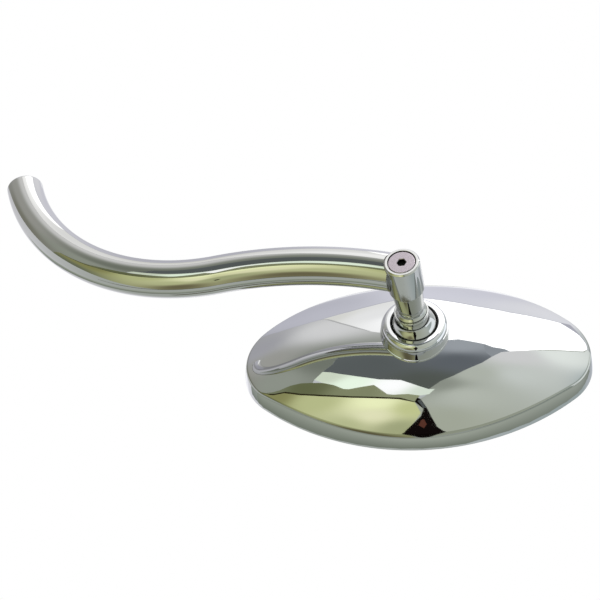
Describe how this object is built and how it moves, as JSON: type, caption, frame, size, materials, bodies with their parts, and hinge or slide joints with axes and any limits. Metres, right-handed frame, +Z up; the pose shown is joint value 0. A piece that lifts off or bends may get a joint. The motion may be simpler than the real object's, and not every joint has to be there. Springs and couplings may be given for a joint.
{
  "type": "motorcycle mirror",
  "caption": "Oval motorcycle mirror with a domed chrome back, a ball joint on a tapered post and an S-curved round stem with a tapped end.",
  "frame": {"origin": "mouth of the tapped hole in the stem's free end", "axes": "+Z up the hole into the stem, +Y to the rider's side where the glass faces, -X towards the head"},
  "size_m": [0.2365, 0.0851, 0.1672],
  "materials": {
    "stem_chrome": "bright chrome plate",
    "post_chrome": "bright chrome plate",
    "shell_chrome": "bright chrome plate",
    "screw_satin": "satin, faintly pink",
    "bare_steel": "zinc plated",
    "plain_plastic": "natural plastic",
    "black_plastic": "moulded black",
    "black_rubber": "matt black",
    "foam": "closed-cell foam",
    "mirror_glass": "silvered glass"
  },
  "bodies": {
    "arm": {"stem": "stem_chrome", "knuckle": "stem_chrome", "bushing": "plain_plastic"},
    "post": {"post": "post_chrome", "ball_stud": "post_chrome", "clamp_screw": "screw_satin", "spring_washer": "bare_steel", "thrust_washer": "plain_plastic"},
    "cup": {"ball_cup": "plain_plastic"},
    "head": {"shell": "shell_chrome", "collar": "shell_chrome", "mouth_seal": "black_rubber", "pressure_cup": "bare_steel", "disc_spring_1": "bare_steel", "disc_spring_2": "bare_steel", "sleeve_plug": "bare_steel", "ring_nut": "bare_steel", "backing_plate": "black_plastic", "plate_screw_1": "bare_steel", "plate_screw_2": "bare_steel", "plate_screw_3": "bare_steel", "plate_screw_4": "bare_steel", "foam_pad": "foam", "mirror_glass": "mirror_glass", "rim_gasket": "black_rubber"}
  },
  "joints": [
    {"name": "post_swivel", "type": "hinge", "parent": "arm", "child": "post", "pos_m": [-0.15287, 0.0384, 0.12138], "axis": [0, -1, 0], "continuous": true},
    {"name": "tilt_up_down", "type": "hinge", "parent": "post", "child": "cup", "pos_m": [-0.15287, 0.0384, 0.12138], "axis": [-0.9622, 0, 0.2723], "range_deg": [-12.5, 12.5]},
    {"name": "tilt_in_out", "type": "hinge", "parent": "cup", "child": "head", "pos_m": [-0.15287, 0.0384, 0.12138], "axis": [-0.2723, 0, -0.9622], "range_deg": [-17.1, 7.9]}
  ]
}
